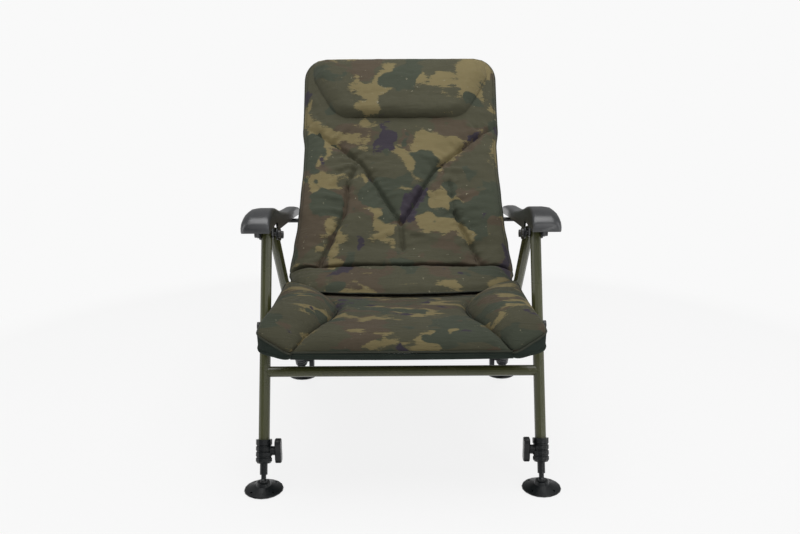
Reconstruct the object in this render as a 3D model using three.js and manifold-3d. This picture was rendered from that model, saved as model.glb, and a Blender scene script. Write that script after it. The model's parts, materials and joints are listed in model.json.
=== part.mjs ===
// Folding carp fishing chair with armrests, a reclining padded back and four adjustable legs.
// Millimetres, +Z up, the sitter faces -Y. The pieces are drawn from midway between the four feet,
// and the whole is then moved so that the origin is on the floor under the middle of its depth.
import * as THREE from "three";
import { mergeVertices } from "three/addons/utils/BufferGeometryUtils.js";
import Module from "manifold-3d";

const wasm = await Module();
wasm.setup();

// Driving dimensions of the frame
const legTubeRadius = 11;
const railTubeRadius = 10;
const tubeWall = 2;
const footDepthSpacing = 611; // front foot to rear foot, along Y
const frontLegX = 272;
const rearLegX = frontLegX - 9; // the rear legs stand a little further in
const ankleHeight = 18; // centre of the ball that carries each foot
const frontLegTopY = -132;
const frontLegTopZ = 477;
const rearLegTopY = -98;
const rearLegTopZ = 468;
const crossbarHeight = 218;
const crossbarRadius = 10.5;
const rearCrossbarShare = 0.57; // along the rear leg, from its top pin, clear of the folding seat rails

// Seat and back
const seatRailX = rearLegX - 51;
const seatRailHeight = 303;
const seatFrontY = -318;
const hingeY = 140;
const hingeRise = 45; // back hinge above the seat rails
const seatBarRadius = 9;
const frontBarSetback = 24; // behind the rails' front ends
const rearBarSetback = 52; // ahead of the back's hinge
const hingePostX = seatRailX;
const hingePostWidth = 12;
const backTubeX = seatRailX + 10;
const backTubeLength = 574;
const backRecline = THREE.MathUtils.degToRad(42);
const backPegDistance = 119; // from the back hinge up the back tube
const pegRadius = 5;
const backLumbarDistance = 160;
const topBarSetback = 22; // below the back tubes' ends

// Leg adjusters
const collarLength = 46;
const collarRadius = 16;
const innerLegRadius = 7.5;
const innerLegInsertion = 175;
const collarRise = 36; // bottom of the collar above the ball, along the leg
const footRadius = 38.5;
const ballRadius = 8;
const neckRadius = 5;
const neckLength = 14;

// Fits
const gap = 0.3;
const runningGap = 0.5;
const boltRadius = 4;
const boltHeadRadius = 8;
const boltHeadHeight = 5;

// Pads
const seatPadThickness = 34;
const seatPadRearY = hingeY - 70;
const seatPadFrontY = seatFrontY - 27;
const seatPadHalfWidth = seatRailX - 8;
const seatLipDrop = 17; // the front edge hangs over the front bar
const rearRollHeight = 16;
const rearRollSetback = 45; // ahead of the pad's rear edge
const backPadThickness = 40;
const backPadStart = 8; // from the back hinge, along the back
const backPadLength = backTubeLength + 8 - backPadStart;
const backPadHalfWidth = backTubeX + 17;
const pillowThickness = 26;
const pillowLength = 183;
const pillowDepthBehind = 22; // its back follows the pad's crown
const pillowLowInset = 83; // pad edge to pillow edge at its foot
const pillowTopInset = 15;
const channelDepth = 9;

// Armrests
const armInnerX = frontLegX - 16;
const armTailWidth = 38;
const armWall = 4;
const armEarThickness = 4;
const rackToothPitch = 22;
const rackToothCount = 5;

const colours = {
  frame: [0.13, 0.14, 0.07],
  plastic: [0.035, 0.038, 0.042],
  steel: [0.35, 0.35, 0.34],
  camo: [0.15, 0.14, 0.1],
};

function material(name) {
  const [r, g, b] = colours[name];
  return new THREE.MeshStandardMaterial({
    color: new THREE.Color(r, g, b),
    roughness: name === "camo" ? 0.85 : 0.45,
    metalness: name === "steel" ? 0.9 : 0.1,
  });
}

const materials = Object.fromEntries(Object.keys(colours).map((name) => [name, material(name)]));
const chair = new THREE.Group();

function addMesh(name, geometry, finish, parent = chair) {
  const mesh = new THREE.Mesh(geometry, materials[finish]);
  mesh.name = name;
  parent.add(mesh);
  return mesh;
}

// Solids and geometries

function toSolid(geometry) {
  const bare = geometry.clone();
  for (const key of Object.keys(bare.attributes)) {
    if (key !== "position") bare.deleteAttribute(key);
  }
  const merged = mergeVertices(bare, 1e-3);
  return new wasm.Manifold(
    new wasm.Mesh({
      numProp: 3,
      vertProperties: new Float32Array(merged.attributes.position.array),
      triVerts: new Uint32Array(merged.index.array),
    })
  );
}

function toGeometry(solid) {
  const mesh = solid.getMesh();
  const geometry = new THREE.BufferGeometry();
  geometry.setAttribute("position", new THREE.BufferAttribute(new Float32Array(mesh.vertProperties), 3));
  geometry.setIndex(new THREE.BufferAttribute(new Uint32Array(mesh.triVerts), 1));
  geometry.computeVertexNormals();
  return geometry;
}

// Turns a geometry made along +Y, from 0 to its length, to run from start towards end
function alongLine(geometry, start, end) {
  const direction = end.clone().sub(start).normalize();
  const turn = new THREE.Quaternion().setFromUnitVectors(new THREE.Vector3(0, 1, 0), direction);
  return geometry.applyMatrix4(new THREE.Matrix4().compose(start, turn, new THREE.Vector3(1, 1, 1)));
}

function rod(start, end, radius, sides = 10) {
  const length = start.distanceTo(end);
  const geometry = new THREE.CylinderGeometry(radius, radius, length, sides);
  geometry.translate(0, length / 2, 0);
  return alongLine(geometry, start, end);
}

// A revolved piece whose profile is [radius, distance along the line] and closes on the axis or on itself
function turned(profile, start, end, sides = 20) {
  const points = profile.map(([radius, along]) => new THREE.Vector2(radius, along));
  return alongLine(new THREE.LatheGeometry(points, sides), start, end);
}

function pipe(start, end, radius, bore, sides = 12) {
  const length = start.distanceTo(end);
  const profile = [[bore, 0], [radius, 0], [radius, length], [bore, length], [bore, 0]];
  return turned(profile, start, end, sides);
}

const at = (x, y, z) => new THREE.Vector3(x, y, z);
const between = (start, end, distance) => {
  const along = end.clone().sub(start).normalize();
  return start.clone().add(along.multiplyScalar(distance));
};

// A closed skin through rings of equal length, with flat ends
function loft(rings) {
  const count = rings[0].length;
  const positions = rings.flat().flatMap((p) => [p.x, p.y, p.z]);
  const index = [];
  for (let r = 0; r < rings.length - 1; r += 1) {
    for (let i = 0; i < count; i += 1) {
      const a = r * count + i;
      const b = r * count + ((i + 1) % count);
      index.push(a, b, a + count, b, b + count, a + count);
    }
  }
  const last = (rings.length - 1) * count;
  for (let i = 1; i < count - 1; i += 1) {
    index.push(0, i + 1, i);
    index.push(last, last + i, last + i + 1);
  }
  const geometry = new THREE.BufferGeometry();
  geometry.setAttribute("position", new THREE.Float32BufferAttribute(positions, 3));
  geometry.setIndex(index);
  return outward(geometry);
}

// A solid whose signed volume came out negative is turned right side out
function outward(geometry) {
  const position = geometry.attributes.position;
  const index = geometry.index.array;
  const [a, b, c] = [at(0, 0, 0), at(0, 0, 0), at(0, 0, 0)];
  let volume = 0;
  for (let i = 0; i < index.length; i += 3) {
    a.fromBufferAttribute(position, index[i]);
    b.fromBufferAttribute(position, index[i + 1]);
    c.fromBufferAttribute(position, index[i + 2]);
    volume += a.dot(b.cross(c));
  }
  if (volume < 0) {
    for (let i = 0; i < index.length; i += 3) [index[i + 1], index[i + 2]] = [index[i + 2], index[i + 1]];
  }
  geometry.computeVertexNormals();
  return geometry;
}

// A stuffed pad in its own frame: X across, Z along its length, -Y towards the sitter, flat on its back.
// halfWidth(t) is the outline and crown(s, t) the height of the face, with s and t from 0 to 1 across
// and along.
function pad({ length, halfWidth, crown, back, columns, rows }) {
  const positions = [];
  const point = (s, t, face) => {
    const x = (2 * s - 1) * halfWidth(t);
    positions.push(x, face ? -crown(s, t) : back(s, t), t * length);
  };
  const ids = [[], []];
  for (let face = 0; face < 2; face += 1) {
    for (let j = 0; j <= rows; j += 1) {
      ids[face][j] = [];
      for (let i = 0; i <= columns; i += 1) {
        ids[face][j][i] = positions.length / 3;
        point(i / columns, j / rows, face === 1);
      }
    }
  }
  const index = [];
  const quad = (a, b, c, d) => index.push(a, b, c, a, c, d);
  for (let j = 0; j < rows; j += 1) {
    for (let i = 0; i < columns; i += 1) {
      quad(ids[0][j][i], ids[0][j + 1][i], ids[0][j + 1][i + 1], ids[0][j][i + 1]);
      quad(ids[1][j][i], ids[1][j][i + 1], ids[1][j + 1][i + 1], ids[1][j + 1][i]);
    }
  }
  for (let j = 0; j < rows; j += 1) {
    quad(ids[0][j][0], ids[1][j][0], ids[1][j + 1][0], ids[0][j + 1][0]);
    quad(ids[0][j + 1][columns], ids[1][j + 1][columns], ids[1][j][columns], ids[0][j][columns]);
  }
  for (let i = 0; i < columns; i += 1) {
    quad(ids[0][0][i + 1], ids[1][0][i + 1], ids[1][0][i], ids[0][0][i]);
    quad(ids[0][rows][i], ids[1][rows][i], ids[1][rows][i + 1], ids[0][rows][i + 1]);
  }
  const geometry = new THREE.BufferGeometry();
  geometry.setAttribute("position", new THREE.Float32BufferAttribute(positions, 3));
  geometry.setIndex(index);
  return outward(geometry);
}

// Pillow-like swell across a pad: 0 at the rim, 1 well inside it
const swell = (s, t, rimS, rimT) => {
  const edge = (v, rim) => Math.sin((Math.PI / 2) * Math.min(1, v / rim, (1 - v) / rim)) ** 0.6;
  return edge(s, rimS) * edge(t, rimT);
};

// Depth of a sewn channel at a point, from the distance to its line in pad shares
const channel = (distance, width) => channelDepth * Math.exp(-((distance / width) ** 2));

function distanceToSegment(s, t, [s0, t0, s1, t1]) {
  const along = ((s - s0) * (s1 - s0) + (t - t0) * (t1 - t0)) / ((s1 - s0) ** 2 + (t1 - t0) ** 2);
  const k = Math.max(0, Math.min(1, along));
  return Math.hypot(s - s0 - k * (s1 - s0), t - t0 - k * (t1 - t0));
}

// One leg with its adjuster: outer tube, collar, knob, inner leg and foot
function makeLeg(end, side, x, top, ball, boltPoints) {
  const name = (piece) => `${end}_${piece}_${side}`;
  const towardsCentre = x < 0 ? 1 : -1;
  const collarBottom = between(ball, top, collarRise);
  const collarTop = between(ball, top, collarRise + collarLength);
  const tubeBottom = between(ball, top, collarRise + 8);
  const tubeTop = between(ball, top, ball.distanceTo(top) + 12);
  const bore = legTubeRadius - tubeWall;

  let tube = toSolid(pipe(tubeBottom, tubeTop, legTubeRadius, bore));
  for (const [y, z] of boltPoints) {
    tube = tube.subtract(toSolid(rod(at(x - 20, y, z), at(x + 20, y, z), boltRadius + gap)));
  }
  addMesh(name("leg_tube"), toGeometry(tube), "frame");

  // The ribbed collar grips the tube and guides the inner leg, and carries a lug for the knob's screw
  const rib = 1.4;
  const profile = [[innerLegRadius + runningGap, 0], [collarRadius - 3, 0], [collarRadius, 4]];
  for (let i = 0; i < 3; i += 1) {
    const start = 10 + i * 11;
    profile.push([collarRadius, start], [collarRadius - rib, start + 1]);
    profile.push([collarRadius - rib, start + 3], [collarRadius, start + 4]);
  }
  profile.push(
    [collarRadius, collarLength],
    [legTubeRadius + gap, collarLength],
    [legTubeRadius + gap, 8 - gap],
    [innerLegRadius + runningGap, 8 - gap],
    [innerLegRadius + runningGap, 0]
  );
  let collar = toSolid(turned(profile, collarBottom, collarTop, 12));
  const middle = between(collarBottom, collarTop, collarLength * 0.52);
  const lugEnd = middle.clone().add(at(towardsCentre * (collarRadius + 6), 0, 0));
  const lugStart = middle.clone().add(at(towardsCentre * (legTubeRadius + 2), 0, 0));
  collar = collar.add(toSolid(rod(lugStart, lugEnd, 9, 12)));
  addMesh(name("leg_collar"), toGeometry(collar), "plastic");

  // Wing-shaped clamp knob on the lug, standing up and down
  const knobStart = lugEnd.clone().add(at(towardsCentre * gap, 0, 0));
  const wing = new THREE.Shape();
  const wingLength = 21;
  const wingWaist = 8;
  wing.moveTo(-wingWaist, 0);
  wing.quadraticCurveTo(-11, wingLength * 0.6, -8, wingLength);
  wing.quadraticCurveTo(0, wingLength + 5, 8, wingLength);
  wing.quadraticCurveTo(11, wingLength * 0.6, wingWaist, 0);
  wing.quadraticCurveTo(11, -wingLength * 0.6, 8, -wingLength);
  wing.quadraticCurveTo(0, -wingLength - 5, -8, -wingLength);
  wing.quadraticCurveTo(-11, -wingLength * 0.6, -wingWaist, 0);
  const knob = new THREE.ExtrudeGeometry(wing, {
    depth: 9,
    curveSegments: 4,
    bevelEnabled: true,
    bevelSegments: 1,
    bevelSize: 1.5,
    bevelThickness: 1.5,
  });
  knob.translate(0, 0, 1.5);
  knob.rotateY(towardsCentre > 0 ? Math.PI / 2 : -Math.PI / 2);
  knob.rotateX(Math.PI / 2);
  knob.translate(knobStart.x, knobStart.y, knobStart.z);
  addMesh(name("leg_knob"), toGeometry(toSolid(knob)), "plastic");

  // Inner leg with the ball on its lower end
  const innerTop = between(ball, top, innerLegInsertion);
  const inner = toSolid(rod(between(ball, top, neckLength), innerTop, innerLegRadius, 14))
    .add(toSolid(rod(ball, between(ball, top, neckLength + 1), neckRadius, 12)))
    .add(toSolid(new THREE.SphereGeometry(ballRadius, 10, 8).translate(ball.x, ball.y, ball.z)));
  addMesh(name("inner_leg"), toGeometry(inner), "plastic");

  // Domed mud foot with an open socket round the ball
  const socket = ballRadius + runningGap;
  const footBottom = at(ball.x, ball.y, 0);
  const dish = [
    [0, 0],
    [footRadius - 3, 0],
    [footRadius, 2.5],
    [footRadius - 1, 4.5],
    [24, 8.5],
    [15, 12],
    [13.5, ankleHeight - 2],
    [12.5, ankleHeight],
    [0, ankleHeight],
  ];
  let foot = toSolid(turned(dish, footBottom, ball, 18));
  foot = foot.subtract(toSolid(new THREE.SphereGeometry(socket, 10, 8).translate(ball.x, ball.y, ball.z)));
  for (let i = 0; i < 4; i += 1) {
    const angle = (i + 0.5) * (Math.PI / 2);
    const hole = at(ball.x + 30 * Math.cos(angle), ball.y + 30 * Math.sin(angle), -1);
    foot = foot.subtract(toSolid(rod(hole, hole.clone().add(at(0, 0, 20)), 2.6, 6)));
  }
  addMesh(name("foot"), toGeometry(foot), "plastic");
}

// A pivot bolt along X from the inner to the outer end, with a head at each
function pivotBolt(name, side, y, z, innerX, outerX, extra = []) {
  let solid = toSolid(rod(at(side * innerX, y, z), at(side * outerX, y, z), boltRadius, 12));
  const heads = [
    [innerX - boltHeadHeight, innerX],
    [outerX, outerX + boltHeadHeight],
    ...extra,
  ];
  for (const [start, end] of heads) {
    solid = solid.add(toSolid(rod(at(side * start, y, z), at(side * end, y, z), boltHeadRadius, 14)));
  }
  addMesh(name, toGeometry(solid), "steel");
}

// The point on the front leg's centre line at a height
const frontFootY = -footDepthSpacing / 2;
const rearFootY = footDepthSpacing / 2;
const frontLegY = (z) =>
  frontFootY + ((frontLegTopY - frontFootY) * (z - ankleHeight)) / (frontLegTopZ - ankleHeight);
const seatPivotY = frontLegY(seatRailHeight);
const crossbarY = frontLegY(crossbarHeight);
const rearCrossbarY = rearLegTopY + (rearFootY - rearLegTopY) * rearCrossbarShare;
const rearCrossbarZ = rearLegTopZ + (ankleHeight - rearLegTopZ) * rearCrossbarShare;

const sides = [["left", -1], ["right", 1]];

// Cross tubes stop at the legs' curved inner faces
function crossTube(name, x, y, z, radius, coreRadius) {
  let tube = toSolid(pipe(at(-x, y, z), at(x, y, z), radius, radius - tubeWall, 16));
  for (const side of [-1, 1]) tube = tube.subtract(toSolid(coreRadius(side)));
  addMesh(name, toGeometry(tube), "frame");
}
crossTube("front_crossbar", frontLegX, crossbarY, crossbarHeight, crossbarRadius, (side) =>
  rod(
    at(side * frontLegX, frontFootY, ankleHeight),
    at(side * frontLegX, frontLegTopY, frontLegTopZ),
    legTubeRadius + gap,
    20
  )
);
crossTube("rear_crossbar", rearLegX, rearCrossbarY, rearCrossbarZ, railTubeRadius, (side) =>
  rod(
    at(side * rearLegX, rearFootY, ankleHeight),
    at(side * rearLegX, rearLegTopY, rearLegTopZ),
    legTubeRadius + gap,
    20
  )
);

for (const [sideName, side] of sides) {
  makeLeg("front", sideName, side * frontLegX, at(side * frontLegX, frontLegTopY, frontLegTopZ),
    at(side * frontLegX, frontFootY, ankleHeight),
    [[frontLegTopY, frontLegTopZ], [seatPivotY, seatRailHeight]]);
  makeLeg("rear", sideName, side * rearLegX, at(side * rearLegX, rearLegTopY, rearLegTopZ),
    at(side * rearLegX, rearFootY, ankleHeight), [[rearLegTopY, rearLegTopZ]]);
}

// Hinge block: two cheek plates join the tops of the front and rear legs, outside and inside
const cheekOuterX = frontLegX + legTubeRadius + gap;
const cheekInnerX = rearLegX - legTubeRadius - gap;
const cheekThickness = 3;
const armOuterEarX = cheekOuterX + cheekThickness + runningGap;
function cheekShape() {
  const lean = Math.atan2(rearLegTopZ - frontLegTopZ, rearLegTopY - frontLegTopY);
  const radius = 12;
  const shape = new THREE.Shape();
  shape.absarc(frontLegTopY, frontLegTopZ, radius, lean + Math.PI / 2, lean + 1.5 * Math.PI, false);
  shape.absarc(rearLegTopY, rearLegTopZ, radius, lean - Math.PI / 2, lean + Math.PI / 2, false);
  return shape;
}
// Shapes drawn in Y and Z are turned so that their depth runs along +X
const shapeToX = new THREE.Matrix4().makeBasis(at(0, 1, 0), at(0, 0, 1), at(1, 0, 0));
function sideExtrusion(shape, x0, x1, segments = 6) {
  const settings = { depth: x1 - x0, bevelEnabled: false, curveSegments: segments };
  return new THREE.ExtrudeGeometry(shape, settings).applyMatrix4(shapeToX).translate(x0, 0, 0);
}
// A plate or a round bar along X on one side, between two distances out from the middle
const sidePlate = (shape, side, x0, x1) =>
  toSolid(sideExtrusion(shape, Math.min(side * x0, side * x1), Math.max(side * x0, side * x1)));
const sideRod = (side, x0, x1, y, z, radius, count) =>
  toSolid(rod(at(side * x0, y, z), at(side * x1, y, z), radius, count));

for (const [sideName, side] of sides) {
  const plates = [[cheekOuterX, cheekOuterX + cheekThickness], [cheekInnerX - cheekThickness, cheekInnerX]];
  plates.forEach(([x0, x1], i) => {
    let plate = sidePlate(cheekShape(), side, x0, x1);
    for (const [y, z] of [[frontLegTopY, frontLegTopZ], [rearLegTopY, rearLegTopZ]]) {
      plate = plate.subtract(sideRod(side, x0 - 5, x1 + 5, y, z, boltRadius + gap, 12));
    }
    addMesh(`hinge_cheek_${i ? "inner" : "outer"}_${sideName}`, toGeometry(plate), "plastic");
  });
  pivotBolt(`arm_pivot_bolt_${sideName}`, side, frontLegTopY, frontLegTopZ,
    cheekInnerX - cheekThickness - gap, armOuterEarX + armEarThickness + gap);
  pivotBolt(`rear_leg_bolt_${sideName}`, side, rearLegTopY, rearLegTopZ,
    cheekInnerX - cheekThickness - gap, cheekOuterX + cheekThickness + gap);
  pivotBolt(`seat_pivot_bolt_${sideName}`, side, seatPivotY, seatRailHeight,
    seatRailX - railTubeRadius - gap, frontLegX + legTubeRadius + gap,
    [[seatRailX + railTubeRadius + gap, frontLegX - legTubeRadius - gap]]);
}

// Seat frame: two rails, a front bar and the rear hinge bar
for (const [sideName, side] of sides) {
  const onRail = (y) => at(side * seatRailX, y, seatRailHeight);
  const rail = toSolid(pipe(onRail(seatFrontY), onRail(hingeY + 16), railTubeRadius, railTubeRadius - tubeWall));
  const bore = sideRod(side, seatRailX - 20, seatRailX + 20, seatPivotY, seatRailHeight, boltRadius + gap);
  addMesh(`seat_rail_${sideName}`, toGeometry(rail.subtract(bore)), "frame");

  // Plug in the rail's front end, with the knuckle that joins it to the front bar
  const plug = toSolid(rod(onRail(seatFrontY - gap), onRail(seatFrontY - 14), railTubeRadius, 18));
  addMesh(`seat_corner_${sideName}`, toGeometry(plug), "plastic");
}
// Posts on the rails carry the back's hinge above the seat pad
const hingeZ = seatRailHeight + hingeRise;
for (const [sideName, side] of sides) {
  const post = new THREE.Shape();
  post.absarc(hingeY, hingeZ, 10, 0, Math.PI, false);
  post.lineTo(hingeY - 14, seatRailHeight);
  post.lineTo(hingeY + 14, seatRailHeight);
  let solid = sidePlate(post, side, hingePostX - hingePostWidth / 2, hingePostX + hingePostWidth / 2);
  solid = solid.subtract(toSolid(rod(at(side * seatRailX, hingeY - 40, seatRailHeight),
    at(side * seatRailX, hingeY + 40, seatRailHeight), railTubeRadius + gap, 14)));
  solid = solid.subtract(sideRod(side, hingePostX - 20, hingePostX + 20, hingeY, hingeZ, boltRadius + gap, 12));
  addMesh(`back_hinge_post_${sideName}`, toGeometry(solid), "frame");
}
const seatBarY = seatFrontY + frontBarSetback;
const rearBarY = hingeY - rearBarSetback;
const seatBarX = seatRailX - railTubeRadius - gap;
const thinBar = (halfLength, y, z) => {
  const ends = [at(-halfLength, y, z), at(halfLength, y, z)];
  return toGeometry(toSolid(pipe(...ends, seatBarRadius, seatBarRadius - tubeWall, 16)));
};
addMesh("seat_front_bar", thinBar(seatBarX, seatBarY, seatRailHeight), "frame");
addMesh("seat_rear_bar", thinBar(seatBarX, rearBarY, seatRailHeight), "frame");

// The reclining back, drawn upright from its hinge and leant back as one group
const back = new THREE.Group();
back.position.set(0, hingeY, hingeZ);
back.rotation.x = -backRecline;
chair.add(back);

const backBarX = backTubeX - railTubeRadius - gap;
const lugThickness = 4;
for (const [sideName, side] of sides) {
  // The tube stands above the hinge, and two flat lugs drop from it astride the seat rail
  const tubeStart = 30;
  const tubeEnds = [at(side * backTubeX, 0, tubeStart), at(side * backTubeX, 0, backTubeLength)];
  const pegBore = sideRod(side, backTubeX - 20, backTubeX + 20, 0, backPegDistance, pegRadius + gap);
  const tube = toSolid(pipe(...tubeEnds, railTubeRadius, railTubeRadius - tubeWall)).subtract(pegBore);
  addMesh(`back_tube_${sideName}`, toGeometry(tube), "frame", back);

  const lug = new THREE.Shape();
  lug.absarc(0, 0, 10, Math.PI, 2 * Math.PI, false);
  lug.lineTo(9, tubeStart - gap);
  lug.lineTo(-9, tubeStart - gap);
  const outerLug = hingePostX + hingePostWidth / 2 + runningGap;
  const innerLug = hingePostX - hingePostWidth / 2 - runningGap - lugThickness;
  const lugPlate = (x0) => sidePlate(lug, side, x0, x0 + lugThickness);
  // The bridge ties both lugs together under the tube's end
  const bridgeEnd = backTubeX + railTubeRadius;
  const bridge = new THREE.BoxGeometry(bridgeEnd - innerLug, 18, 8);
  bridge.translate((side * (bridgeEnd + innerLug)) / 2, 0, tubeStart - gap - 4);
  const lugBore = sideRod(side, hingePostX - 40, hingePostX + 40, 0, 0, boltRadius + gap, 12);
  const lugSolid = lugPlate(outerLug).add(lugPlate(innerLug)).add(toSolid(bridge)).subtract(lugBore);
  addMesh(`back_hinge_bracket_${sideName}`, toGeometry(lugSolid), "frame", back);

  // The peg that the armrest's rack rests on
  const pegStart = backTubeX - railTubeRadius - 3;
  const pegHead = sideRod(side, pegStart - 3, pegStart, 0, backPegDistance, pegRadius + 3, 14);
  const peg = sideRod(side, pegStart, armInnerX + armTailWidth - 8, 0, backPegDistance, pegRadius, 14);
  addMesh(`recline_peg_${sideName}`, toGeometry(peg.add(pegHead)), "steel", back);

  pivotBolt(`back_hinge_bolt_${sideName}`, side, hingeY, hingeZ,
    innerLug - gap, outerLug + lugThickness + gap);
}
addMesh("back_top_bar", thinBar(backBarX, 0, backTubeLength - topBarSetback), "frame", back);
addMesh("back_lumbar_bar", thinBar(backBarX, 0, backLumbarDistance), "frame", back);

// Back pad: flared at the bottom, waisted above it and round at the top corners, with sewn channels in a V
const backHalfWidth = (t) => {
  const flare = 10 * Math.max(0, 1 - t / 0.3) ** 2;
  const corner = 46 / backPadLength;
  const k = Math.max(0, (t - (1 - corner)) / corner);
  return backPadHalfWidth + flare + 6 * t - 44 * (1 - Math.sqrt(Math.max(0, 1 - k * k)));
};
const backChannels = [
  [0.5, 0.13, 0.3, 0.44],
  [0.5, 0.13, 0.67, 0.4],
  [0.3, 0.44, 0.07, 0.59],
  [0.67, 0.4, 0.97, 0.64],
  [0.5, 0.13, 0.5, 0.03],
  [0.13, 0.03, 0.23, 0.29],
  [0.87, 0.03, 0.77, 0.17],
  [0.23, 0.29, 0.3, 0.44],
];
const backCrown = (s, t) => {
  let height = 9 + (backPadThickness - 9) * swell(s, t, 0.14, 0.07);
  let depth = 0;
  for (const line of backChannels) depth = Math.max(depth, channel(distanceToSegment(s, t, line), 0.028));
  return Math.max(6, height - depth);
};
const backPadLift = railTubeRadius + gap;
const backPadSolid = toSolid(pad({
  length: backPadLength,
  halfWidth: backHalfWidth,
  crown: backCrown,
  back: () => 0,
  columns: 20,
  rows: 20,
})).translate([0, -backPadLift, backPadStart]);
addMesh("back_pad", toGeometry(backPadSolid), "camo", back);

// Head pillow across the top of the back pad, narrow at its foot, with a back that follows the pad's crown
const pillowHalfWidth = (t) => {
  const round = Math.max(0, (t - 0.8) / 0.2);
  const inset = pillowLowInset + (pillowTopInset - pillowLowInset) * Math.min(1, t / 0.8) ** 0.8;
  return backPadHalfWidth - inset - 14 * (1 - Math.sqrt(1 - round * round));
};
const pillowSolid = toSolid(pad({
  length: pillowLength,
  halfWidth: pillowHalfWidth,
  crown: (s, t) => 4 + (pillowThickness - 4) * swell(s, t, 0.16, 0.3),
  back: () => pillowDepthBehind,
  columns: 14,
  rows: 6,
})).translate([0, -backPadLift - backPadThickness - gap, backPadStart + backPadLength - pillowLength - 10]);
addMesh("head_pillow", toGeometry(pillowSolid.subtract(backPadSolid.translate([0, -gap, 0]))), "camo", back);

// Seat pad, drawn with its length along Z from the front edge and laid down so that its face looks up
const seatPadBase = seatRailHeight + railTubeRadius + gap;
const seatLength = seatPadRearY - seatPadFrontY;
const rearRollShare = 1 - rearRollSetback / seatLength;
const seatGeometry = pad({
  length: seatLength,
  halfWidth: () => seatPadHalfWidth,
  crown: (s, t) => {
    const body = (seatPadThickness - 8) * swell(s, t, 0.16, 0.1) * (1 - 0.5 * t);
    const fromRoll = (t - rearRollShare) * seatLength;
    const roll = rearRollHeight * swell(s, t, 0.16, 0.1) * Math.exp(-((fromRoll / 38) ** 2));
    return 8 + body + roll - 5 * Math.sin(Math.PI * t) * Math.sin(Math.PI * s);
  },
  back: () => 0,
  columns: 14,
  rows: 16,
});
seatGeometry.rotateX(-Math.PI / 2);
seatGeometry.translate(0, seatPadFrontY, seatPadBase);

// The lip that hangs over the front bar, between the rails' end plugs
const lipDepth = 24;
const lipProfile = new THREE.Shape();
lipProfile.moveTo(seatPadFrontY + lipDepth, seatPadBase + 4);
lipProfile.lineTo(seatPadFrontY + lipDepth, seatPadBase - seatLipDrop + 4);
lipProfile.quadraticCurveTo(seatPadFrontY + lipDepth, seatPadBase - seatLipDrop,
  seatPadFrontY + lipDepth / 2, seatPadBase - seatLipDrop);
lipProfile.quadraticCurveTo(seatPadFrontY, seatPadBase - seatLipDrop, seatPadFrontY, seatPadBase + 4);
const lipHalfWidth = seatRailX - railTubeRadius - 8;
const seatLip = toSolid(sideExtrusion(lipProfile, -lipHalfWidth, lipHalfWidth, 4));

// Side bolsters: wing-shaped pads let into the seat pad, with their outer tips ahead of the front legs
// Corners are [outside the rail's centre line, behind the seat pad's front edge]
const bolsterCorners = [
  [-13, -1], [26, 2], [54, 20], [50, 77], [34, 155],
  [31, 253], [-16, 233], [-66, 169], [-83, 105], [-54, 45],
];
const bolsterHeight = seatPadThickness + 20;
const bolsterRim = 14;
const bolsterCurve = (side) =>
  new THREE.CatmullRomCurve3(
    bolsterCorners.map(([x, y]) => at(side * (seatRailX + x), seatPadFrontY + y, 0)),
    true,
    "catmullrom",
    0.4
  );

// A dome over a closed outline: rings drawn in towards the middle rise to the crown
function dome(outline, base, rim, height, ringCount = 5) {
  const middle = outline.reduce((sum, p) => sum.add(p), at(0, 0, 0)).divideScalar(outline.length);
  const rings = [outline.map((p) => at(p.x, p.y, base))];
  for (let i = 0; i <= ringCount; i += 1) {
    const inward = i / (ringCount + 1);
    const rise = rim + (height - rim) * Math.sin((Math.PI / 2) * Math.min(1, inward * 1.5)) ** 0.7;
    rings.push(outline.map((p) => at(p.x, p.y, 0).lerp(middle, inward * 0.92).setZ(base + rise)));
  }
  return loft(rings);
}

let seatSolid = toSolid(seatGeometry).add(seatLip);
for (const [sideName, side] of sides) {
  const outline = bolsterCurve(side).getSpacedPoints(30).slice(0, 30);
  const bolster = toSolid(dome(outline, seatPadBase, bolsterRim, bolsterHeight));
  const middle = outline.reduce((sum, p) => sum.add(p), at(0, 0, 0)).divideScalar(outline.length);
  const wider = outline.map((p) => p.clone().add(p.clone().sub(middle).setLength(1.2)));
  const ringAt = (z) => wider.map((p) => at(p.x, p.y, z));
  const pocket = loft([ringAt(seatPadBase - 5), ringAt(seatPadBase + 90)]);
  seatSolid = seatSolid.subtract(toSolid(pocket));
  addMesh(`seat_bolster_${sideName}`, toGeometry(bolster), "camo");
}
addMesh("seat_pad", toGeometry(seatSolid), "camo");

// Moulded armrests: a hollow shell open below, with a rounded nose, a hump for the hand and a dip
// for the arm.
// Heights are above the line from the armrest's pivot to the recline peg
const pegY = hingeY + backPegDistance * Math.sin(backRecline);
const pegZ = hingeZ + backPegDistance * Math.cos(backRecline);
const rackSlope = Math.atan2(pegZ - frontLegTopZ, pegY - frontLegTopY);
const rackLine = (y) => frontLegTopZ + (y - frontLegTopY) * Math.tan(rackSlope);
const armNose = [
  // behind the pivot, top, rim, width
  [-65, 19, 6.5, 50],
  [-60, 29, 6, 56],
  [-45, 39, 8.4, 60],
  [-18, 47, 13.4, 61],
  [14, 51.5, 17, 60],
  [46, 50.5, 20.8, 57.5],
  [56, 49.5, 3, 56.5],
];
const armTail = [
  // share of the way from the pivot to the peg, top, rim, width
  [0.29, 42, 4, 53],
  [0.46, 36.5, 5.7, 47],
  [0.66, 29.8, 7.3, 42],
  [0.887, 31, 9.7, 39],
  [1.086, 33, 10.6, 38],
  [1.229, 28.5, 11.2, 36],
];
const armStations = [
  ...armNose.map(([along, ...rest]) => [frontLegTopY + along, ...rest]),
  ...armTail.map(([share, ...rest]) => [frontLegTopY + share * (pegY - frontLegTopY), ...rest]),
];
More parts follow.
